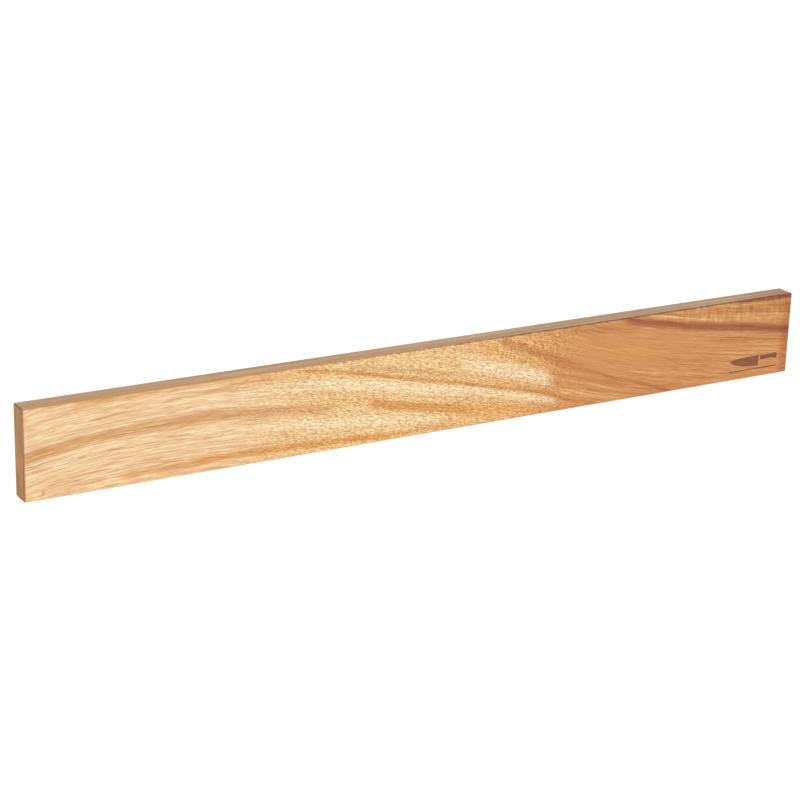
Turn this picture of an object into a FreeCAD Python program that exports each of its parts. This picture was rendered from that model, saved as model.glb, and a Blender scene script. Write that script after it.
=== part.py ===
import FreeCAD, Part
import math
import os

# Magnetic knife bar in solid acacia, hung flat on a wall.
# Frame: +X along the bar (right as seen from the front), +Y into the wall, +Z up.
# Origin: centre of the back face, which lies on the wall. The front face looks along -Y.
# All lengths in millimetres.

# ---- driving dimensions -------------------------------------------------
LENGTH = 610.0          # bar, along X (24 inch class)
HEIGHT = 62.0           # bar, along Z
THICK = 15.0            # bar, along Y
EDGE_R = 1.2            # eased outer edges

SKIN = 2.0              # wood left in front of the magnets

MAGNETS = 18
MAGNET_X = 25.0
MAGNET_Z = 20.0
MAGNET_Y = 5.0
MAGNET_PITCH = 30.0
MAGNET_EDGE_R = 0.4
POCKET_GAP = 0.5        # glue gap round each magnet
POCKET_CORNER_R = 1.5   # 3 mm cutter

YOKE_Y = 2.0
YOKE_Z = 24.0
YOKE_X = 540.0
YOKE_EDGE_R = 0.3
YOKE_GAP = 0.3
YOKE_CORNER_R = 2.0

COVER_Y = THICK - SKIN - MAGNET_Y - YOKE_Y   # 6.0
COVER_X = 549.8
COVER_Z = 31.8
COVER_GAP = 0.1         # glue line round the cover
COVER_CORNER_R = 5.0

HANGER_X = 289.0        # each keyhole is this far from the middle
PLATE_W = 16.0
PLATE_H = 38.0
PLATE_T = 1.5
PLATE_SINK = 0.2        # plates sit this far below the back face
PLATE_CORNER_R = 3.0
PLATE_GAP = 0.15
PLATE_Z = 6.0           # middle of the plate
SCREW_PITCH = 29.0      # between the two screws of one plate
ENTRY_R = 4.5           # keyhole: round entry
ENTRY_Z = 2.0
SLOT_W = 4.4            # keyhole: slot that grips the wall screw's neck
SLOT_TOP_Z = 10.5       # centre of the slot's round end
POCKET_W = 11.0         # room in the wood for the wall screw's head
POCKET_LOW = -4.5
POCKET_HIGH = 16.5
POCKET_DEEP = 7.5       # from the back face

SCREW_HEAD_R = 2.75
SCREW_MAJOR_R = 1.45
SCREW_MINOR_R = 1.0
SCREW_LEN = 10.0
SCREW_THREAD_STEP = 1.1
PILOT_R = 1.5
PLATE_HOLE_R = 1.55
PLATE_SINK_R = 2.95

MARK_DEEP = 0.3         # engraved knife outline and rule, generic
MARK_RIGHT = 10.3       # from the bar's right end
MARK_TOP = 45.0         # from the bar's top edge
MARK_W = 45.0
MARK_H = 8.0
RULE_GAP = 2.3
RULE_H = 0.8

V = FreeCAD.Vector
FRONT = -THICK


def slab(width, height, y0, y1, x=0.0, z=0.0, corner=0.0):
    """Block centred on (x, z), from y0 to y1, with its four Y edges rounded."""
    lo, hi = min(y0, y1), max(y0, y1)
    box = Part.makeBox(width, hi - lo, height, V(x - width / 2.0, lo, z - height / 2.0))
    if corner <= 0:
        return box
    edges = [
        e for e in box.Edges
        if abs(e.Vertexes[0].Point.y - e.Vertexes[-1].Point.y) > 1e-6
    ]
    return box.makeFillet(corner, edges)


def rod(radius, y0, y1, x, z):
    lo, hi = min(y0, y1), max(y0, y1)
    return Part.makeCylinder(radius, hi - lo, V(x, lo, z), V(0, 1, 0))


def turned(profile, x, z):
    """Solid of revolution about the Y line through (x, z). profile: (radius, y) round the section."""
    points = [V(x + r, y, z) for r, y in profile]
    face = Part.Face(Part.makePolygon(points + [points[0]]))
    return face.revolve(V(x, 0, z), V(0, 1, 0), 360)


def prism(wire, y0, depth):
    return Part.Face(wire).extrude(V(0, depth, 0))


def keyhole(x, y0, y1):
    """Round entry below, narrow slot above."""
    entry = rod(ENTRY_R, y0, y1, x, ENTRY_Z)
    neck = slab(SLOT_W, SLOT_TOP_Z - ENTRY_Z, y0, y1, x, (SLOT_TOP_Z + ENTRY_Z) / 2.0)
    end = rod(SLOT_W / 2.0, y0, y1, x, SLOT_TOP_Z)
    return entry.fuse([neck, end]).removeSplitter()


def save(shape, name):
    if shape.ShapeType == "Compound" and len(shape.Solids) == 1:
        shape = shape.Solids[0]
    if not shape.isValid():
        shape.fix(1e-6, 1e-6, 1e-6)
    print(name, shape.ShapeType, len(shape.Solids), "valid", shape.isValid(),
          "cm3 %.3f" % (shape.Volume / 1000.0))
    shape.exportStep("parts/" + name + ".step")


os.makedirs("parts", exist_ok=True)

magnet_x = [(i - (MAGNETS - 1) / 2.0) * MAGNET_PITCH for i in range(MAGNETS)]
magnet_back = FRONT + SKIN + MAGNET_Y
yoke_back = magnet_back + YOKE_Y
screw_z = [PLATE_Z + SCREW_PITCH / 2.0, PLATE_Z - SCREW_PITCH / 2.0]
plate_out = -PLATE_SINK
plate_in = -PLATE_SINK - PLATE_T

# ---- wood bar -----------------------------------------------------------
blank = Part.makeBox(LENGTH, THICK, HEIGHT, V(-LENGTH / 2.0, FRONT, -HEIGHT / 2.0))
blank = blank.makeFillet(EDGE_R, blank.Edges)

cuts = [
    slab(COVER_X + 2 * COVER_GAP, COVER_Z + 2 * COVER_GAP, -COVER_Y, 1.0, corner=COVER_CORNER_R + COVER_GAP),
    slab(YOKE_X + 2 * YOKE_GAP, YOKE_Z + 2 * YOKE_GAP, magnet_back, -COVER_Y + 0.5, corner=YOKE_CORNER_R),
]
for x in magnet_x:
    cuts.append(slab(MAGNET_X + 2 * POCKET_GAP, MAGNET_Z + 2 * POCKET_GAP,
                     FRONT + SKIN, magnet_back + 0.5, x, 0.0, POCKET_CORNER_R))
for side in (-1, 1):
    x = side * HANGER_X
    cuts.append(slab(PLATE_W + 2 * PLATE_GAP, PLATE_H + 2 * PLATE_GAP, plate_in, 1.0, x, PLATE_Z,
                     PLATE_CORNER_R + PLATE_GAP))
    cuts.append(slab(POCKET_W, POCKET_HIGH - POCKET_LOW, -POCKET_DEEP, plate_in + 0.5, x,
                     (POCKET_HIGH + POCKET_LOW) / 2.0, POCKET_W / 2.0 - 0.01))
    for z in screw_z:
        cuts.append(rod(PILOT_R, plate_out - SCREW_LEN - 0.3, plate_in + 0.5, x, z))

# Engraved mark: a plain chef's knife pointing left, with a thin rule under it.
mx = LENGTH / 2.0 - MARK_RIGHT - MARK_W
mz = HEIGHT / 2.0 - MARK_TOP - MARK_H


def mark_point(u, v):
    return V(mx + u, FRONT - 0.5, mz + v)


def curve(points):
    spline = Part.BSplineCurve()
    spline.interpolate([mark_point(u, v) for u, v in points])
    return spline.toShape()


blade = Part.Wire([
    curve([(0.0, 5.6), (3.6, 6.9), (9.0, 7.5)]),
    Part.makeLine(mark_point(9.0, 7.5), mark_point(27.4, 8.0)),
    Part.makeLine(mark_point(27.4, 8.0), mark_point(27.4, 0.0)),
    curve([(27.4, 0.0), (19.0, 0.25), (10.5, 1.3), (4.4, 3.1), (0.0, 5.6)]),
])
handle = Part.Wire([
    curve([(28.9, 7.9), (35.0, 7.55), (43.0, 7.8)]),
    Part.Arc(mark_point(43.0, 7.8), mark_point(45.0, 5.6), mark_point(43.6, 3.6)).toShape(),
    curve([(43.6, 3.6), (41.2, 4.15), (36.0, 4.55), (31.2, 4.1), (28.9, 4.2)]),
    Part.makeLine(mark_point(28.9, 4.2), mark_point(28.9, 7.9)),
])
depth = MARK_DEEP + 0.5
rule_cut = slab(MARK_W, RULE_H, FRONT - 0.5, FRONT + MARK_DEEP, mx + MARK_W / 2.0, mz - RULE_GAP)
cuts += [prism(blade, 0, depth), prism(handle, 0, depth), rule_cut]

wood = blank.cut(cuts)
save(wood, "wood_bar")

# ---- cover glued over the channel --------------------------------------
save(slab(COVER_X, COVER_Z, -COVER_Y, 0.0, corner=COVER_CORNER_R), "back_cover_strip")

# ---- steel yoke ---------------------------------------------------------
yoke = slab(YOKE_X, YOKE_Z, magnet_back, yoke_back, corner=1.5)
yoke = yoke.makeFillet(YOKE_EDGE_R, [
    e for e in yoke.Edges
    if abs(e.Vertexes[0].Point.y - e.Vertexes[-1].Point.y) < 1e-6
])
save(yoke, "steel_yoke_bar")

# ---- magnets ------------------------------------------------------------
for i, x in enumerate(magnet_x):
    block = slab(MAGNET_X, MAGNET_Z, FRONT + SKIN, magnet_back, x, 0.0)
    save(block.makeFillet(MAGNET_EDGE_R, block.Edges), "magnet_%02d" % (i + 1))

# ---- keyhole hanger plates and their screws ----------------------------
for side, word in ((-1, "left"), (1, "right")):
    x = side * HANGER_X
    plate = slab(PLATE_W, PLATE_H, plate_in, plate_out, x, PLATE_Z, PLATE_CORNER_R)
    plate = plate.makeFillet(0.25, [
        e for e in plate.Edges
        if abs(e.Vertexes[0].Point.y - plate_out) < 1e-6 and abs(e.Vertexes[-1].Point.y - plate_out) < 1e-6
    ])
    holes = [keyhole(x, plate_in - 0.5, plate_out + 0.5)]
    for z in screw_z:
        land = plate_out - (PLATE_SINK_R - PLATE_HOLE_R)
        holes.append(turned([
            (0.0, plate_in - 0.5), (PLATE_HOLE_R, plate_in - 0.5), (PLATE_HOLE_R, land),
            (PLATE_SINK_R, plate_out), (PLATE_SINK_R, plate_out + 0.5), (0.0, plate_out + 0.5),
        ], x, z))
    save(plate.cut(holes), "hanger_plate_" + word)

    for z, height in zip(screw_z, ("upper", "lower")):
        top = plate_out - 0.05
        tip = plate_out - SCREW_LEN
        cone = top - 0.1 - (SCREW_HEAD_R - SCREW_MINOR_R - 0.25)
        section = [(0.0, top), (SCREW_HEAD_R - 0.05, top), (SCREW_HEAD_R, top - 0.04), (SCREW_HEAD_R, top - 0.1),
                   (SCREW_MINOR_R + 0.25, cone), (SCREW_MINOR_R + 0.25, cone - 0.35), (SCREW_MINOR_R, cone - 0.55)]
        y = cone - 0.55
        taper = tip + 2.4
        while y - SCREW_THREAD_STEP > taper:
            section += [(SCREW_MINOR_R, y - 0.35), (SCREW_MAJOR_R, y - 0.70), (SCREW_MAJOR_R, y - 0.80),
                        (SCREW_MINOR_R, y - SCREW_THREAD_STEP)]
            y -= SCREW_THREAD_STEP
        section += [(SCREW_MINOR_R, y - 0.2), (0.62, y - 0.9), (0.92, y - 1.05), (0.52, y - 1.3), (0.0, tip)]
        screw = turned(section, x, z)
        arms = []
        for angle in (45.0, 135.0):
            wing = Part.makeBox(3.0, 1.6, 0.62, V(-1.5, 0, -0.31))
            wing = wing.makeChamfer(0.55, [
                e for e in wing.Edges
                if abs(e.Vertexes[0].Point.y) < 1e-6 and abs(e.Vertexes[-1].Point.y) < 1e-6
                and abs(e.Vertexes[0].Point.x - e.Vertexes[-1].Point.x) < 1e-6
            ])
            wing.rotate(V(0, 0, 0), V(0, 1, 0), angle)
            wing.translate(V(x, top - 1.1, z))
            arms.append(wing)
        save(screw.cut(arms), "hanger_screw_%s_%s" % (word, height))
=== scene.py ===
import math

import bmesh
import bpy
from mathutils import Matrix, Vector


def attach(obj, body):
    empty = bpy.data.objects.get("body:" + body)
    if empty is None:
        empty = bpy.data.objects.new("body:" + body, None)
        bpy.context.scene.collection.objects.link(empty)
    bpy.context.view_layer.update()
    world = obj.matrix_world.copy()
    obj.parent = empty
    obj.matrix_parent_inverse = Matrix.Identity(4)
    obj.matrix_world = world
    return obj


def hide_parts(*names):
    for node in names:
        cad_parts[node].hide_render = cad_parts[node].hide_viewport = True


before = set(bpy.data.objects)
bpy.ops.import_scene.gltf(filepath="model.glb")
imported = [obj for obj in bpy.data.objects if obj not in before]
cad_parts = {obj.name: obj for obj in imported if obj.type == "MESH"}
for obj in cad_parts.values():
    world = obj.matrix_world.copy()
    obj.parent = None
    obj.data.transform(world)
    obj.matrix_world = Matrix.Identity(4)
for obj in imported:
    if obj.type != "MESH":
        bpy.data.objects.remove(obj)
scene = bpy.context.scene


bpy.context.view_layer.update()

# ---- sizes, in millimetres, as in the CAD model ------------------------
LENGTH, HEIGHT, THICK, EDGE_R = 610.0, 62.0, 15.0, 1.2
COVER = (550.0, 32.0, 6.0, 5.1)          # rebate: length, height, depth, corner radius
YOKE = (540.6, 24.6, 8.0, 2.0)           # groove: length, height, bottom of groove from the back, corner radius
POCKET = (26.0, 21.0, 13.0, 1.5)         # magnet pockets
MAGNETS, PITCH = 18, 30.0
HANGER_X, PLATE_Z = 289.0, 6.0
PLATE = (16.3, 38.3, 1.7, 3.15)
HEAD_ROOM = (11.0, -4.5, 16.5, 7.5)      # width, lowest z, highest z, depth
SCREW_Z = (20.5, -8.5)
PILOT = (1.5, 10.5)
MARK_X, MARK_Z, MARK_W, MARK_H = 249.7, -22.0, 45.0, 8.0
MM = 0.001


# ======================================================================
# Geometry
# ======================================================================
def mesh_object(name, bm):
    me = bpy.data.meshes.new(name)
    bm.normal_update()
    bm.to_mesh(me)
    bm.free()
    ob = bpy.data.objects.new(name, me)
    scene.collection.objects.link(ob)
    return ob


def outline_prism(bm, points, y0, y1):
    """Closed prism with the outline points (x, z), from y0 to y1, all in millimetres."""
    lo = [bm.verts.new(Vector((x, min(y0, y1), z)) * MM) for x, z in points]
    hi = [bm.verts.new(Vector((x, max(y0, y1), z)) * MM) for x, z in points]
    n = len(points)
    faces = [bm.faces.new(lo), bm.faces.new(hi[::-1])]
    for i in range(n):
        j = (i + 1) % n
        faces.append(bm.faces.new((lo[i], hi[i], hi[j], lo[j])))
    bmesh.ops.recalc_face_normals(bm, faces=faces)


def rounded(width, height, radius, x=0.0, z=0.0, steps=8):
    points = []
    for cx, cz, start in ((1, 1, 0), (-1, 1, 90), (-1, -1, 180), (1, -1, 270)):
        for k in range(steps + 1):
            a = math.radians(start + 90.0 * k / steps)
            points.append((x + cx * (width / 2 - radius) + radius * math.cos(a),
                           z + cz * (height / 2 - radius) + radius * math.sin(a)))
    return points


def circle(radius, x, z, steps=32):
    return [(x + radius * math.cos(2 * math.pi * k / steps), z + radius * math.sin(2 * math.pi * k / steps))
            for k in range(steps)]


def smooth_line(points, steps=7):
    """Catmull-Rom line through the points, without its last point."""
    ext = [points[0]] + list(points) + [points[-1]]
    out = []
    for i in range(1, len(ext) - 2):
        p0, p1, p2, p3 = (Vector(p) for p in ext[i - 1:i + 3])
        for k in range(steps):
            t = k / steps
            out.append(tuple(0.5 * ((2 * p1) + (p2 - p0) * t + (2 * p0 - 5 * p1 + 4 * p2 - p3) * t * t
                                    + (3 * p1 - p0 - 3 * p2 + p3) * t * t * t)))
    return out


def cut(ob, tool):
    mod = ob.modifiers.new("cut", "BOOLEAN")
    mod.operation = "DIFFERENCE"
    mod.solver = "EXACT"
    mod.object = tool
    bpy.context.view_layer.update()
    made = bpy.data.meshes.new_from_object(ob.evaluated_get(bpy.context.evaluated_depsgraph_get()))
    ob.modifiers.remove(mod)
    old = ob.data
    ob.data = made
    bpy.data.meshes.remove(old)
    gone = tool.data
    bpy.data.objects.remove(tool)
    bpy.data.meshes.remove(gone)


def tool_of(prisms):
    bm = bmesh.new()
    for points, y0, y1 in prisms:
        outline_prism(bm, points, y0, y1)
    return mesh_object("tool", bm)


bm = bmesh.new()
bmesh.ops.create_cube(bm, size=1.0)
bmesh.ops.scale(bm, vec=(LENGTH * MM, THICK * MM, HEIGHT * MM), verts=bm.verts)
bmesh.ops.translate(bm, vec=(0, -THICK / 2 * MM, 0), verts=bm.verts)
bmesh.ops.bevel(bm, geom=list(bm.edges), offset=EDGE_R * MM, offset_type="OFFSET", segments=6, profile=0.5,
                affect="EDGES", clamp_overlap=True)
bar = mesh_object("acacia_bar", bm)

cut(bar, tool_of([(rounded(COVER[0], COVER[1], COVER[3]), -COVER[2], 1.0)]))
cut(bar, tool_of([(rounded(YOKE[0], YOKE[1], YOKE[3]), -YOKE[2], -COVER[2] + 0.5)]))
cut(bar, tool_of([(rounded(POCKET[0], POCKET[1], POCKET[3], (i - (MAGNETS - 1) / 2) * PITCH, 0.0, 5),
                   -POCKET[2], -YOKE[2] + 0.5) for i in range(MAGNETS)]))
cut(bar, tool_of([(rounded(PLATE[0], PLATE[1], PLATE[3], side * HANGER_X, PLATE_Z), -PLATE[2], 1.0)
                  for side in (-1, 1)]))
cut(bar, tool_of([(rounded(HEAD_ROOM[0], HEAD_ROOM[2] - HEAD_ROOM[1], HEAD_ROOM[0] / 2 - 0.01, side * HANGER_X,
                           (HEAD_ROOM[1] + HEAD_ROOM[2]) / 2), -HEAD_ROOM[3], -PLATE[2] + 0.5)
                  for side in (-1, 1)]))
cut(bar, tool_of([(circle(PILOT[0], side * HANGER_X, z, 20), -PILOT[1], -PLATE[2] + 0.5)
                  for side in (-1, 1) for z in SCREW_Z]))


def mark(points):
    return [(MARK_X + u, MARK_Z + v) for u, v in points]


blade = mark(smooth_line([(0.0, 5.6), (3.6, 6.9), (9.0, 7.5)]) + [(9.0, 7.5), (27.4, 8.0)]
             + smooth_line([(27.4, 0.0), (19.0, 0.25), (10.5, 1.3), (4.4, 3.1), (0.0, 5.6)]))
grip = mark(smooth_line([(28.9, 7.9), (35.0, 7.55), (43.0, 7.8), (44.7, 6.9), (44.9, 5.2), (43.6, 3.6)])
            + smooth_line([(43.6, 3.6), (41.2, 4.15), (36.0, 4.55), (31.2, 4.1), (28.9, 4.2)]) + [(28.9, 4.2)])
rule = rounded(MARK_W, 0.8, 0.05, MARK_X + MARK_W / 2, MARK_Z - 2.3, 2)
DEEP = 0.3
front = -THICK
cut(bar, tool_of([(outline, front - 1.0, front + DEEP) for outline in (blade, grip, rule)]))

bm = bmesh.new()
bm.from_mesh(bar.data)
bmesh.ops.remove_doubles(bm, verts=bm.verts, dist=1e-7)
bmesh.ops.dissolve_degenerate(bm, edges=bm.edges, dist=1e-7)
for x in (-LENGTH / 6, LENGTH / 6):      # so that the long faces can be unwrapped in three strips
    bmesh.ops.bisect_plane(bm, geom=list(bm.verts) + list(bm.edges) + list(bm.faces), plane_co=(x * MM, 0, 0),
                           plane_no=(1, 0, 0))
for f in bm.faces:
    f.smooth = True
sharp = math.radians(35.0)
for e in bm.edges:
    e.smooth = not (len(e.link_faces) == 2 and e.calc_face_angle(0.0) > sharp)
bm.to_mesh(bar.data)
bm.free()
weighted = bar.modifiers.new("normals", "WEIGHTED_NORMAL")
weighted.keep_sharp = True
weighted.weight = 100
bpy.context.view_layer.update()
whole = bpy.data.meshes.new_from_object(bar.evaluated_get(bpy.context.evaluated_depsgraph_get()))
bar.modifiers.clear()
bar.data = whole
bar.data.name = "acacia_bar"


# ======================================================================
# Shader helpers
# ======================================================================
def srgb(r, g, b):
    return tuple((c / 255.0 / 12.92 if c <= 10.3 else ((c / 255.0 + 0.055) / 1.055) ** 2.4) for c in (r, g, b))


class Tree:
    def __init__(self, tree):
        self.tree = tree

    def put(self, socket, value):
        if isinstance(value, bpy.types.NodeSocket):
            self.tree.links.new(value, socket)
        elif isinstance(value, (tuple, list)):
            socket.default_value = tuple(value) + (1.0,) * (len(socket.default_value) - len(value))
        else:
            socket.default_value = value

    def math(self, op, *values, clamp=False):
        n = self.tree.nodes.new("ShaderNodeMath")
        n.operation = op
        n.use_clamp = clamp
        for k, v in enumerate(values):
            self.put(n.inputs[k], v)
        return n.outputs[0]

    def add(self, a, b):
        return self.math("ADD", a, b)

    def sub(self, a, b):
        return self.math("SUBTRACT", a, b)

    def mul(self, a, b):
        return self.math("MULTIPLY", a, b)

    def mad(self, a, b, c):
        return self.math("MULTIPLY_ADD", a, b, c)

    def ramp(self, x, lo, hi, out_lo=0.0, out_hi=1.0, kind="SMOOTHSTEP"):
        n = self.tree.nodes.new("ShaderNodeMapRange")
        n.interpolation_type = kind
        n.clamp = True
        for k, v in enumerate((x, lo, hi, out_lo, out_hi)):
            self.put(n.inputs[k], v)
        return n.outputs[0]

    def vector(self, x, y, z):
        n = self.tree.nodes.new("ShaderNodeCombineXYZ")
        for k, v in enumerate((x, y, z)):
            self.put(n.inputs[k], v)
        return n.outputs[0]

    def noise(self, vector, scale=1.0, detail=2.0, roughness=0.5, distortion=0.0, w=None):
        n = self.tree.nodes.new("ShaderNodeTexNoise")
        n.noise_dimensions = "3D" if w is None else "4D"
        self.put(n.inputs["Vector"], vector)
        if w is not None:
            self.put(n.inputs["W"], w)
        for key, v in (("Scale", scale), ("Detail", detail), ("Roughness", roughness), ("Distortion", distortion)):
            self.put(n.inputs[key], v)
        return n.outputs["Fac"] if "Fac" in n.outputs else n.outputs[0]

    def voronoi(self, vector, scale=1.0, randomness=1.0, feature="F1", out="Distance"):
        n = self.tree.nodes.new("ShaderNodeTexVoronoi")
        n.feature = feature
        self.put(n.inputs["Vector"], vector)
        self.put(n.inputs["Scale"], scale)
        self.put(n.inputs["Randomness"], randomness)
        return n.outputs[out]

    def mix(self, factor, a, b, blend="MIX"):
        n = self.tree.nodes.new("ShaderNodeMix")
        n.data_type = "RGBA"
        n.blend_type = blend
        n.clamp_factor = True
        self.put(n.inputs[0], factor)
        self.put(n.inputs[6], a)
        self.put(n.inputs[7], b)
        return n.outputs[2]

    def colours(self, x, stops):
        n = self.tree.nodes.new("ShaderNodeValToRGB")
        n.color_ramp.interpolation = "EASE"
        els = n.color_ramp.elements
        while len(els) > 1:
            els.remove(els[-1])
        for k, (at, colour) in enumerate(stops):
            e = els[0] if k == 0 else els.new(at)
            e.position = at
            e.color = tuple(colour) + (1.0,)
        self.put(n.inputs[0], x)
        return n.outputs[0]


def new_material(name):
    m = bpy.data.materials.new(name)
    m.use_nodes = True
    t = m.node_tree
    t.nodes.clear()
    out = t.nodes.new("ShaderNodeOutputMaterial")
    bsdf = t.nodes.new("ShaderNodeBsdfPrincipled")
    t.links.new(bsdf.outputs[0], out.inputs["Surface"])
    return m, Tree(t), bsdf


def place(tr):
    """Object coordinates in millimetres."""
    co = tr.tree.nodes.new("ShaderNodeTexCoord")
    scaled = tr.tree.nodes.new("ShaderNodeVectorMath")
    scaled.operation = "SCALE"
    tr.put(scaled.inputs[0], co.outputs["Object"])
    tr.put(scaled.inputs["Scale"], 1000.0)
    split = tr.tree.nodes.new("ShaderNodeSeparateXYZ")
    tr.put(split.inputs[0], scaled.outputs[0])
    return scaled.outputs[0], split.outputs[0], split.outputs[1], split.outputs[2]


def bump(tr, bsdf, height, distance, strength=1.0):
    n = tr.tree.nodes.new("ShaderNodeBump")
    tr.put(n.inputs["Height"], height)
    tr.put(n.inputs["Distance"], distance)
    tr.put(n.inputs["Strength"], strength)
    tr.put(bsdf.inputs["Normal"], n.outputs[0])


# ======================================================================
# Acacia
# ======================================================================
# How far a grain line has dropped at each station along the bar: (s, drop). It rises a little from the left end,
# falls more and more steeply past the middle and levels out at the right end. s is measured from the left end and t
# from the top edge, in millimetres, and a grain line keeps the same u = t - drop.
DROP = ((0, 0), (45, -6), (90, -8), (125, -8), (160, -6), (200, -3), (235, 3), (265, 10), (300, 18), (330, 25),
        (360, 33), (385, 40), (405, 47), (430, 54), (465, 64), (505, 72), (565, 82), (610, 88))
DIP = 2.0       # the growth layers dip into the board: u per millimetre of depth

# The key light makes a white face on the front LIT bright, and the satin finish adds SHEEN on top, so a tone seen
# on the front has the albedo (tone - SHEEN) / LIT.
LIT, SHEEN = 1.345, 0.036
TONES = {name: tuple(max((c - SHEEN) / LIT, 0.01) for c in srgb(*rgb)) for name, rgb in {
    "cream": (245, 215, 170),
    "pale": (240, 205, 160),
    "straw": (235, 195, 140),
    "honey": (230, 180, 120),
    "amber": (225, 165, 95),
    "orange": (215, 150, 80),
    "tan": (215, 165, 110),
    "light_brown": (215, 155, 100),
    "brown": (200, 135, 80),
    "russet": (180, 115, 65),
    "red_brown": (160, 90, 55),
    "dark_brown": (140, 85, 50),
    "yellow": (220, 170, 105),
}.items()}

# Each band of colour follows the grain: tone, where its middle starts and ends as (s, t), half width, softness of
# its sides from 0 to 1, fade-in and fade-out lengths, strength. Later bands lie over earlier ones.
BANDS = (
    # honey wood along the top edge, with darker streaks, and cream wood under it
    ("honey", (50, 3), (200, 5), 3.5, 0.9, 30, 20, 0.7),
    ("tan", (20, 2), (55, 2), 1.5, 0.9, 10, 15, 0.4),
    ("amber", (100, 9), (135, 8), 1, 0.8, 10, 15, 0.6),
    ("orange", (145, 5), (165, 5), 1.5, 0.8, 15, 20, 0.6),
    ("cream", (100, 12), (200, 14), 3.5, 0.7, 30, 10, 0.8),
    # the tan band that arches over the left third
    ("tan", (0, 33), (125, 24), 4.5, 0.6, 5, 20, 0.9),
    ("tan", (140, 25), (200, 30), 4.5, 0.8, 20, 30, 0.8),
    ("brown", (85, 29), (130, 28), 0.5, 0.8, 15, 20, 0.4),
    # pale wood below it, with one thin brown line
    ("cream", (40, 34), (140, 33), 3, 0.7, 20, 20, 0.8),
    ("cream", (145, 38), (200, 40), 4, 0.7, 20, 10, 0.9),
    ("brown", (22, 51), (95, 49), 0.6, 0.8, 10, 15, 0.6),
    # the orange band along the bottom edge
    ("amber", (75, 55), (125, 54), 2.5, 0.8, 20, 20, 0.7),
    ("orange", (125, 54), (200, 55), 3, 0.7, 20, 10, 0.8),
    ("orange", (205, 56), (255, 58), 3, 0.7, 10, 20, 0.8),
    ("amber", (135, 50), (187, 49), 0.8, 0.8, 15, 15, 0.5),
    # wood above the long line
    ("straw", (285, 3), (320, 12), 5, 0.8, 20, 20, 0.8),
    ("tan", (240, 7), (315, 22), 2.5, 0.9, 20, 25, 0.6),
    # the long line, orange at first and brown farther on
    ("orange", (203, 4), (265, 17), 2.0, 0.8, 20, 5, 0.85),
    ("orange", (270, 18), (330, 32), 1.8, 0.8, 5, 10, 0.85),
    ("brown", (330, 32), (360, 39), 1.3, 0.8, 10, 5, 0.75),
    ("brown", (365, 40), (406, 53), 1.6, 0.8, 5, 15, 0.85),
    # cream bands below it, and the orange patch between them
    ("cream", (203, 14), (255, 22), 4.5, 0.7, 10, 5, 0.9),
    ("cream", (260, 23), (340, 39), 4.5, 0.8, 5, 5, 0.9),
    ("cream", (345, 41), (390, 52), 3.5, 0.8, 5, 15, 0.8),
    ("honey", (205, 28), (250, 32), 4, 0.9, 20, 10, 0.6),
    ("orange", (255, 35), (320, 48), 4.5, 0.7, 15, 20, 0.85),
    ("amber", (325, 49), (385, 59), 3, 0.9, 15, 15, 0.6),
    ("cream", (203, 44), (253, 46), 4, 0.7, 10, 5, 0.9),
    ("cream", (255, 47), (290, 51), 3.5, 0.8, 5, 20, 0.8),
    ("brown", (272, 58), (308, 59), 2, 1.0, 15, 10, 0.45),
    # the pale patch, and brown wood over it
    ("cream", (330, 18), (385, 34), 7, 0.8, 20, 15, 0.9),
    ("amber", (340, 7), (378, 22), 3.5, 0.9, 15, 15, 0.6),
    ("brown", (355, 5), (406, 27), 5, 0.8, 10, 25, 0.8),
    ("brown", (415, 4), (465, 8), 4, 0.9, 20, 20, 0.6),
    # the light heart of the right third
    ("amber", (425, 17), (470, 27), 6, 1.0, 20, 30, 0.4),
    ("brown", (494, 35), (515, 45), 0.8, 0.8, 10, 15, 0.5),
    # the red-brown band that drops from the top edge to the right end
    ("red_brown", (463, 3), (507, 12), 3.5, 0.7, 15, 5, 0.85),
    ("red_brown", (510, 13), (563, 21), 4, 0.7, 5, 5, 0.85),
    ("red_brown", (565, 21), (610, 28), 4, 0.7, 5, 5, 0.85),
    ("brown", (544, 28), (610, 34), 2.5, 0.9, 20, 5, 0.7),
    # yellow streaks over it, then the brown corner
    ("yellow", (494, 3), (544, 11), 2, 0.7, 12, 5, 0.9),
    ("yellow", (547, 11), (610, 17), 2.8, 0.7, 5, 5, 0.9),
    ("straw", (482, 1), (538, 12), 0.6, 0.7, 8, 15, 0.8),
    ("brown", (538, 5), (610, 10), 3, 0.6, 15, 5, 0.9),
    ("dark_brown", (563, 1), (610, 2), 2.2, 0.8, 15, 5, 0.85),
    # brown and honey bands that run out at the bottom edge
    ("brown", (407, 29), (469, 50), 2.5, 0.8, 20, 10, 0.7),
    ("russet", (475, 52), (495, 59), 2.5, 0.9, 12, 10, 0.7),
    ("brown", (407, 36), (457, 50), 1.5, 0.8, 15, 15, 0.6),
    ("honey", (407, 48), (445, 58), 3, 0.9, 10, 15, 0.7),
    ("brown", (407, 54), (428, 60), 1.5, 0.9, 10, 10, 0.6),
)


def drop(s):
    for (s0, d0), (s1, d1) in zip(DROP, DROP[1:]):
        if s <= s1:
            return d0 + (d1 - d0) * (s - s0) / (s1 - s0)
    return DROP[-1][1]


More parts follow.
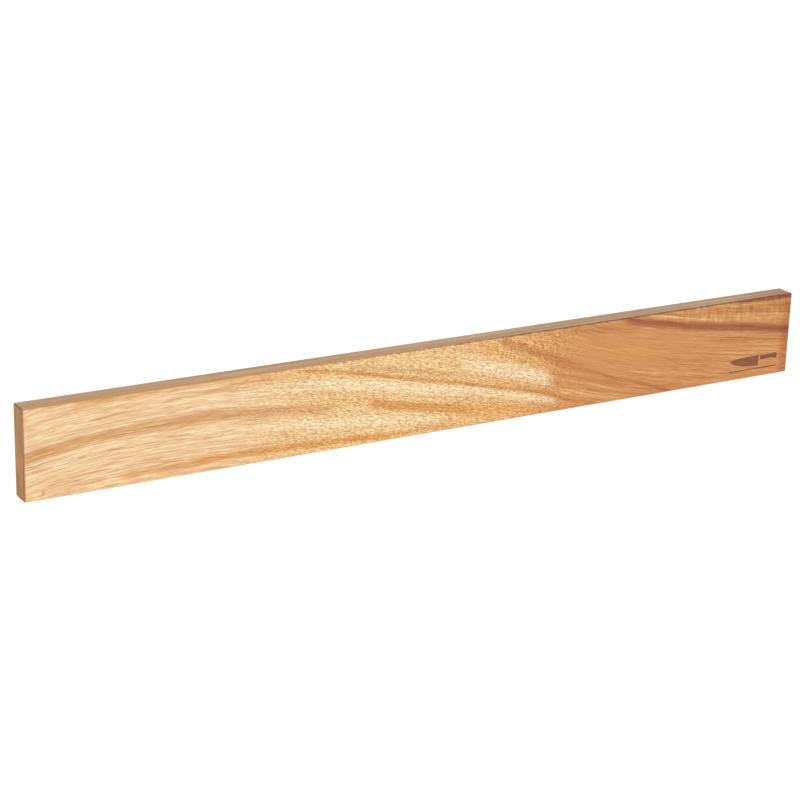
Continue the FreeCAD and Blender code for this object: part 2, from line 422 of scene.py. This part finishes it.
def band_group():
    """One soft band of colour that follows the grain."""
    g = bpy.data.node_groups.new("grain_band", "ShaderNodeTree")
    face = g.interface
    for name, kind in (("Colour", "NodeSocketColor"), ("Tone", "NodeSocketColor"), ("S", "NodeSocketFloat"),
                       ("U", "NodeSocketFloat"), ("U0", "NodeSocketFloat"), ("Drift", "NodeSocketFloat"),
                       ("Core", "NodeSocketFloat"), ("Half", "NodeSocketFloat"), ("In0", "NodeSocketFloat"),
                       ("In1", "NodeSocketFloat"), ("Out0", "NodeSocketFloat"), ("Out1", "NodeSocketFloat"),
                       ("Strength", "NodeSocketFloat")):
        face.new_socket(name=name, in_out="INPUT", socket_type=kind)
    face.new_socket(name="Colour", in_out="OUTPUT", socket_type="NodeSocketColor")
    tr = Tree(g)
    i = g.nodes.new("NodeGroupInput").outputs
    o = g.nodes.new("NodeGroupOutput")
    centre = tr.mad(tr.sub(i["S"], i["In1"]), i["Drift"], i["U0"])
    away = tr.math("ABSOLUTE", tr.sub(i["U"], centre))
    across = tr.ramp(away, i["Core"], i["Half"], 1.0, 0.0)
    start = tr.ramp(i["S"], i["In0"], i["In1"])
    stop = tr.ramp(i["S"], i["Out0"], i["Out1"], 1.0, 0.0)
    w = tr.mul(tr.mul(across, start), tr.mul(stop, i["Strength"]))
    g.links.new(tr.mix(w, i["Colour"], i["Tone"]), o.inputs[0])
    return g


BAND = band_group()


def acacia(name, part="face", lo=0.0, hi=LENGTH):
    """part: "face" for the front, back and edges, "end" for end grain, "cover" for the plainer strip in the back.
    Only the bands that reach the stretch from s = lo to hi are built."""
    m, tr, bsdf = new_material(name)
    at, x, y, z = place(tr)
    s = tr.add(x, LENGTH / 2)
    t = tr.sub(HEIGHT / 2, z)
    if part == "cover":     # cut from another plank, so its figure doesn't run on from the bar's
        s, t = tr.mad(x, -0.8, LENGTH / 2 + 40.0), tr.mad(z, 0.8, HEIGHT / 2 - 8.0)
    d = tr.add(y, THICK)

    def xyz(ks, ku, kd, u_, s_=None):
        return tr.vector(tr.mul(s if s_ is None else s_, ks), tr.mul(u_, ku), tr.mul(d, kd))

    # growth layers
    n = tr.tree.nodes.new("ShaderNodeFloatCurve")
    points = n.mapping.curves[0].points
    for k, (at_s, fall) in enumerate(DROP):
        spot = (at_s / LENGTH, (fall + 10) / 110)
        if k < 2:
            points[k].location = spot
        else:
            points.new(*spot)
    n.mapping.update()
    tr.put(n.inputs["Factor"], 1.0)
    tr.put(n.inputs["Value"], tr.mul(s, 1 / LENGTH))
    u = tr.sub(tr.add(t, 10.0), tr.mul(n.outputs[0], 110.0))
    u = tr.mad(d, DIP, u)
    sway = tr.noise(xyz(0.010, 0.045, 0.045, t), detail=2.0)
    curl = tr.noise(xyz(0.050, 0.160, 0.160, t), detail=2.0)
    u_band = tr.mad(tr.sub(curl, 0.5), 1.2, tr.mad(tr.sub(sway, 0.5), 1.5, u))
    u_fibre = tr.mad(tr.sub(curl, 0.5), 1.4, tr.mad(tr.sub(sway, 0.5), 2.4, u))
    # the band edges are drawn out into the fibres
    feather = tr.noise(xyz(0.025, 0.9, 0.9, u_fibre), detail=3.0, roughness=0.7)
    u_band = tr.mad(tr.sub(feather, 0.5), 2.6, u_band)

    # broad colour along the bar, then the bands
    colour = tr.colours(tr.mul(s, 1 / LENGTH), (
        (0.0, TONES["pale"]), (0.22, TONES["pale"]), (0.34, TONES["straw"]), (0.46, TONES["straw"]),
        (0.58, TONES["honey"]), (0.66, TONES["light_brown"]), (1.0, TONES["light_brown"])))
    if part == "cover":
        colour = tr.mix(0.6, colour, TONES["honey"])
    for tone, (s0, t0), (s1, t1), half, soft, fade_in, fade_out, strength in BANDS[::3 if part == "cover" else 1]:
        u0, u1 = t0 - drop(s0), t1 - drop(s1)
        if s1 + fade_out < lo or s0 - fade_in > hi:
            continue
        n = tr.tree.nodes.new("ShaderNodeGroup")
        n.node_tree = BAND
        for key, v in (("Colour", colour), ("Tone", TONES[tone]), ("S", s), ("U", u_band), ("U0", u0),
                       ("Drift", (u1 - u0) / (s1 - s0)), ("Core", half * (1 - soft)), ("Half", half * (1 + 0.3 * soft)),
                       ("In0", float(s0 - fade_in)), ("In1", float(s0)), ("Out0", float(s1)),
                       ("Out1", float(s1 + fade_out)), ("Strength", strength)):
            tr.put(n.inputs[key], v)
        colour = n.outputs[0]

    # where the figure changes along the bar
    curly = tr.mul(tr.ramp(s, 115.0, 215.0), tr.ramp(s, 385.0, 450.0, 1.0, 0.0))       # stippled, interlocked grain
    calm = tr.mul(tr.ramp(s, 380.0, 430.0), tr.ramp(s, 500.0, 580.0, 1.0, 0.0))        # smooth heart
    calm = tr.mul(calm, tr.mul(tr.ramp(t, 6.0, 14.0), tr.ramp(t, 36.0, 48.0, 1.0, 0.0)))
    corner_right = tr.mul(tr.ramp(s, 470.0, 540.0), tr.ramp(t, 10.0, 24.0, 1.0, 0.0))

    # streaks and fibres along the grain
    streak = tr.noise(xyz(0.009, 0.45, 0.45, u_fibre), detail=2.0, roughness=0.6)
    fibre = tr.noise(xyz(0.026, 1.00, 1.00, u_fibre), detail=3.0, roughness=0.8)
    fine = tr.noise(xyz(0.075, 2.1, 2.1, u_fibre), detail=2.0, roughness=0.7)
    grain = tr.mul(tr.sub(streak, 0.5), 0.9)
    grain = tr.mad(tr.sub(fibre, 0.5), 2.1, grain)
    grain = tr.mad(tr.sub(fine, 0.5), 1.7, grain)
    # stipple: short slanted flecks
    fleck = tr.noise(xyz(0.40, 1.35, 1.35, u_fibre, tr.mad(t, 0.85, s)), detail=1.0, roughness=0.6, distortion=0.5)
    fleck2 = tr.noise(xyz(0.26, 1.90, 1.90, u_fibre, tr.mad(t, -0.6, s)), detail=1.0, roughness=0.6)
    stipple = tr.mad(tr.sub(fleck, 0.5), 2.7, tr.mul(tr.sub(fleck2, 0.5), 2.3))
    stipple = tr.add(tr.math("MINIMUM", stipple, 0.40), 0.07)
    grain = tr.mad(stipple, curly, tr.mul(grain, tr.mad(curly, -0.45, 1.0)))
    # cross-grain ripple in the brown corner, and beside the pale patch
    ripple = tr.noise(xyz(0.36, 0.10, 0.10, u), detail=1.0)
    rays = tr.noise(xyz(0.62, 0.16, 0.16, u), detail=1.0)
    ray_zone = tr.mul(tr.mul(tr.ramp(s, 318.0, 345.0), tr.ramp(s, 385.0, 420.0, 1.0, 0.0)), tr.ramp(u, -16.0, -6.0, 1.0, 0.0))
    grain = tr.mad(tr.mul(tr.sub(ripple, 0.5), 1.5), corner_right, grain)
    grain = tr.mad(tr.mul(tr.sub(rays, 0.5), 1.3), ray_zone, grain)
    grain = tr.mul(grain, tr.mad(calm, -0.45, 1.0))
    shade = tr.math("MULTIPLY_ADD", grain, 0.55, 0.5, clamp=True)
    # darker fibres are also redder: each channel falls off at its own rate
    k = tr.math("MINIMUM", tr.ramp(grain, -0.95, 0.80, -1.0, 0.72, "LINEAR"), 0.5)
    tint = tr.vector(tr.math("POWER", 1.65, k), tr.math("POWER", 2.72, k), tr.math("POWER", 4.1, k))
    colour = tr.mix(1.0, colour, tint, "MULTIPLY")

    # thin dark vessel lines
    vein = tr.noise(xyz(0.010, 0.34, 0.34, u_fibre), detail=1.0, roughness=0.4)
    gaps = tr.noise(xyz(0.024, 0.45, 0.45, u_fibre), scale=1.0, detail=0.0)
    line = tr.ramp(tr.math("ABSOLUTE", tr.sub(vein, 0.5)), 0.004, 0.024, 1.0, 0.0)
    line = tr.mul(tr.mul(line, tr.ramp(gaps, 0.46, 0.60)), tr.mul(tr.mad(curly, -0.6, 1.0), tr.mad(calm, -0.5, 1.0)))
    colour = tr.mix(tr.mul(line, 0.8), colour, tr.mix(1.0, colour, (0.76, 0.56, 0.40), "MULTIPLY"))
    # pores: short dark dashes
    pore_at = xyz(0.15, 1.35, 1.35, u_fibre)
    pore = tr.ramp(tr.voronoi(pore_at, 1.0), 0.06, 0.24, 1.0, 0.0)
    pore = tr.mul(pore, tr.ramp(tr.noise(pore_at, 0.45, 1.0), 0.46, 0.58))
    colour = tr.mix(tr.mul(pore, 0.6), colour, tr.mix(1.0, colour, (0.62, 0.42, 0.27), "MULTIPLY"))
    # a small knot near the lower left corner and a dark tick at the top edge
    for s_, t_, rs, rt, tone in ((12.6, 57.4, 1.3, 1.9, "brown"), (10.6, 59.0, 2.6, 0.8, "orange"),
                                 (13.6, 60.0, 2.0, 1.0, "cream"), (317.0, 0.8, 3.4, 1.6, "red_brown")):
        if not lo - 5 < s_ < hi + 5:
            continue
        far = tr.math("SQRT", tr.add(tr.math("POWER", tr.mul(tr.sub(s, s_), 1 / rs), 2.0),
                                     tr.math("POWER", tr.mul(tr.sub(t, t_), 1 / rt), 2.0)))
        spot = tr.mul(tr.ramp(tr.mad(grain, 0.5, far), 0.3, 1.3, 1.0, 0.0), tr.ramp(d, 2.0, 4.0, 1.0, 0.0))
        colour = tr.mix(tr.mul(spot, 0.6), colour, TONES[tone])

    # the sawn edges are a greyer tan than the face, and the eased corners carry painted shade: a darker brown line
    # along the rounded edges
    dx = tr.sub(LENGTH / 2, tr.math("ABSOLUTE", x))
    dz = tr.sub(HEIGHT / 2, tr.math("ABSOLUTE", z))
    dy = tr.math("MINIMUM", d, tr.sub(THICK, d))
    soft_shade = tr.mad(tr.sub(shade, 0.5), 0.7, 0.5)
    if part == "end":
        bands_end = tr.noise(tr.vector(tr.mul(s, 0.01), tr.mul(t, 0.045), tr.mul(d, 0.42)), detail=3.0, roughness=0.6)
        pick = tr.math("MULTIPLY_ADD", tr.sub(bands_end, 0.5), 1.7, soft_shade, clamp=True)
        colour = tr.mix(0.85, colour, tr.mix(pick, srgb(126, 84, 46), srgb(186, 137, 86)))
    elif part == "face":
        side = tr.ramp(dz, 0.1, 0.9, 1.0, 0.0)
        planks = tr.noise(tr.vector(tr.mul(s, 0.004), tr.mul(t, 0.01), tr.mul(d, 0.33)), detail=2.0, roughness=0.6)
        pick = tr.math("MULTIPLY_ADD", tr.sub(planks, 0.5), 2.0, soft_shade, clamp=True)
        along = tr.ramp(s, 220.0, 420.0)
        low = tr.mix(along, srgb(180, 126, 76), srgb(180, 134, 92))
        high = tr.mix(along, srgb(237, 193, 146), srgb(238, 202, 164))
        if hi > LENGTH - 1:
            worn = tr.ramp(s, 540.0, 600.0)
            low = tr.mix(worn, low, srgb(166, 116, 74))
            high = tr.mix(worn, high, srgb(222, 184, 142))
        colour = tr.mix(tr.mul(side, 0.85), colour, tr.mix(pick, low, high))
        if hi > LENGTH - 1:     # scorched a little by the saw at the right end
            scorch = tr.mul(tr.ramp(s, 598.0, 607.0), tr.mad(shade, -0.4, 1.0))
            colour = tr.mix(tr.mul(scorch, tr.sub(1.0, side)), colour, tr.mix(1.0, colour, (0.76, 0.52, 0.26), "MULTIPLY"))
    if part != "cover":
        # painted shade: the rounded edges are painted a darker brown, darkest towards the right, a separate brown on
        # the left end's edges, and faint along the bottom edge
        corner = tr.sub(tr.add(tr.add(dx, dz), dy), tr.math("MAXIMUM", tr.math("MAXIMUM", dx, dz), dy))
        arris_painted_shade = tr.ramp(corner, 0.75, 1.3, 1.0, 0.0)
        rim_painted_shade = tr.mix(tr.ramp(s, 200.0, 420.0), srgb(186, 132, 76), srgb(108, 68, 34))
        rim_painted_shade = tr.mix(tr.ramp(s, 0.9, 1.6, 1.0, 0.0), rim_painted_shade, srgb(140, 88, 46))
        arris_painted_shade = tr.mul(arris_painted_shade, tr.ramp(t, 59.5, 60.5, 1.0, 0.35))
        colour = tr.mix(tr.mul(arris_painted_shade, tr.mad(shade, -0.5, 1.05)), colour, rim_painted_shade)

    else:
        # glue line round the cover
        edge = tr.math("MINIMUM", tr.sub(COVER[0] / 2, tr.math("ABSOLUTE", x)), tr.sub(COVER[1] / 2, tr.math("ABSOLUTE", z)))
        colour = tr.mix(tr.ramp(edge, 0.15, 0.75, 0.75, 0.0), colour, srgb(112, 70, 38))

    # burnt floor of the engraving
    box_x = tr.mul(tr.math("GREATER_THAN", x, MARK_X - 2), tr.math("LESS_THAN", x, MARK_X + MARK_W + 2))
    box_z = tr.mul(tr.math("GREATER_THAN", z, MARK_Z - 4), tr.math("LESS_THAN", z, MARK_Z + MARK_H + 2))
    deep = tr.mul(tr.ramp(d, 0.04, 0.14), tr.ramp(d, 0.4, 0.6, 1.0, 0.0))
    burn = tr.mul(tr.mul(box_x, box_z), deep)
    colour = tr.mix(tr.mul(burn, 0.92), colour, tr.mix(shade, srgb(84, 40, 16), srgb(134, 74, 36)))

    tr.put(bsdf.inputs["Base Color"], colour)
    rough = tr.mad(shade, 0.12, 0.62 if part == "end" else 0.42)
    tr.put(bsdf.inputs["Roughness"], tr.mad(pore, 0.2, rough))
    bsdf.inputs["IOR"].default_value = 1.46
    if part == "end":
        bsdf.inputs["Specular IOR Level"].default_value = 0.2
    height = tr.mad(tr.math("MAXIMUM", pore, line), -1.0, tr.mul(grain, 0.5))
    bump(tr, bsdf, height, 0.00005, 0.4)
    return m


THIRD = LENGTH / 3
bar.data.materials.clear()
for k, side in enumerate(("left", "middle", "right")):
    bar.data.materials.append(acacia("acacia_oiled_" + side, "face", k * THIRD, (k + 1) * THIRD))
bar.data.materials.append(acacia("end_grain_left", "end", 0.0, 2.0))
bar.data.materials.append(acacia("end_grain_right", "end", LENGTH - 2.0, LENGTH))
for p in bar.data.polygons:
    p.material_index = min(2, int((p.center.x / MM + LENGTH / 2) / THIRD))
    if abs(p.normal.x) > 0.72 and abs(p.center.x) > (LENGTH / 2 - 1.0) * MM:
        p.material_index = 3 if p.center.x < 0 else 4
cover_wood = acacia("acacia_cover", "cover")
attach(bar, "root")
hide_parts("wood_bar")

# ======================================================================
# Other pieces
# ======================================================================
def metal(name, base, rough, streak_axis=0, streak=0.04, wear=0.1, scale=1.0):
    m, tr, bsdf = new_material(name)
    at, x, y, z = place(tr)
    k = [1.2, 1.2, 1.2]
    k[streak_axis] = 0.03
    v = tr.vector(*(tr.mul(c, f * scale) for c, f in zip((x, y, z), k)))
    brush = tr.noise(v, 3.0, 3.0, 0.6)
    blotch = tr.noise(at, 0.12 * scale, 3.0, 0.55)
    spots = tr.noise(at, 0.9 * scale, 2.0, 0.6)
    dark = tuple(c * (1 - wear * 2.2) for c in base)
    light = tuple(min(1.0, c * (1 + wear)) for c in base)
    tone = tr.math("ADD", tr.mul(tr.sub(brush, 0.5), 1.2), blotch, clamp=True)
    tr.put(bsdf.inputs["Base Color"], tr.mix(tone, dark, light))
    bsdf.inputs["Metallic"].default_value = 1.0
    tr.put(bsdf.inputs["Roughness"], tr.mad(tr.sub(spots, 0.5), 0.25, tr.mad(blotch, 0.12, rough)))
    bump(tr, bsdf, brush, 0.00001, streak)
    return m


zinc = metal("zinc_plated_steel", (0.62, 0.64, 0.66), 0.30, 2, 0.15, 0.08)
screw_zinc = metal("zinc_screw", (0.60, 0.61, 0.62), 0.28, 1, 0.1, 0.1, 2.0)
mill = metal("mill_steel", (0.34, 0.34, 0.35), 0.42, 0, 0.3, 0.12, 0.5)
nickel = metal("nickel_plate", (0.66, 0.63, 0.57), 0.16, 0, 0.05, 0.05)


def dress(node, material):
    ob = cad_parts[node]
    ob.data.materials.clear()
    ob.data.materials.append(material)


dress("back_cover_strip", cover_wood)
dress("steel_yoke_bar", mill)
for i in range(1, MAGNETS + 1):
    dress("magnet_%02d" % i, nickel)
for side in ("left", "right"):
    dress("hanger_plate_" + side, zinc)
    for level in ("upper", "lower"):
        dress("hanger_screw_%s_%s" % (side, level), screw_zinc)

# ======================================================================
# Stage, light and camera
# ======================================================================
bm = bmesh.new()
bmesh.ops.create_circle(bm, cap_ends=True, radius=14.0, segments=96)
bmesh.ops.translate(bm, vec=(0, 0, -HEIGHT / 2 * MM), verts=bm.verts)
floor = mesh_object("floor", bm)
m, tr, bsdf = new_material("floor_white")
bsdf.inputs["Base Color"].default_value = (0.9, 0.9, 0.9, 1)
bsdf.inputs["Roughness"].default_value = 0.9
bsdf.inputs["Specular IOR Level"].default_value = 0.1
bsdf.inputs["Emission Color"].default_value = (1, 1, 1, 1)
bsdf.inputs["Emission Strength"].default_value = 0.5
floor.data.materials.append(m)

world = bpy.data.worlds.new("studio")
scene.world = world
world.use_nodes = True
wn = world.node_tree.nodes
wn["Background"].inputs["Color"].default_value = (1, 1, 1, 1)
wn["Background"].inputs["Strength"].default_value = 0.62


def softbox(name, at, aim, size, power):
    light = bpy.data.lights.new(name, "AREA")
    light.shape = "RECTANGLE"
    light.size, light.size_y = size
    light.energy = power
    ob = bpy.data.objects.new(name, light)
    ob.location = at
    ob.rotation_euler = (Vector(aim) - Vector(at)).to_track_quat("-Z", "Y").to_euler()
    scene.collection.objects.link(ob)
    return ob


softbox("key", (-1.1, -3.0, 0.9), (0, 0, 0), (2.4, 1.6), 62.0)

camera = bpy.data.cameras.new("camera")
camera.sensor_fit = "HORIZONTAL"
camera.sensor_width = 36.0
camera.lens = 98.216
view = bpy.data.objects.new("camera", camera)
right, up, ahead = Vector((0.8627, -0.5049, 0.0266)), Vector((0.1414, 0.2916, 0.9460)), Vector((0.4855, 0.8124, -0.3230))
view.matrix_world = Matrix.Translation((-0.75397, -1.21854, 0.47538)) @ Matrix(
    ((right.x, up.x, -ahead.x, 0), (right.y, up.y, -ahead.y, 0), (right.z, up.z, -ahead.z, 0), (0, 0, 0, 1)))
scene.collection.objects.link(view)
scene.camera = view
scene.view_settings.view_transform = "Standard"
scene.view_settings.look = "None"
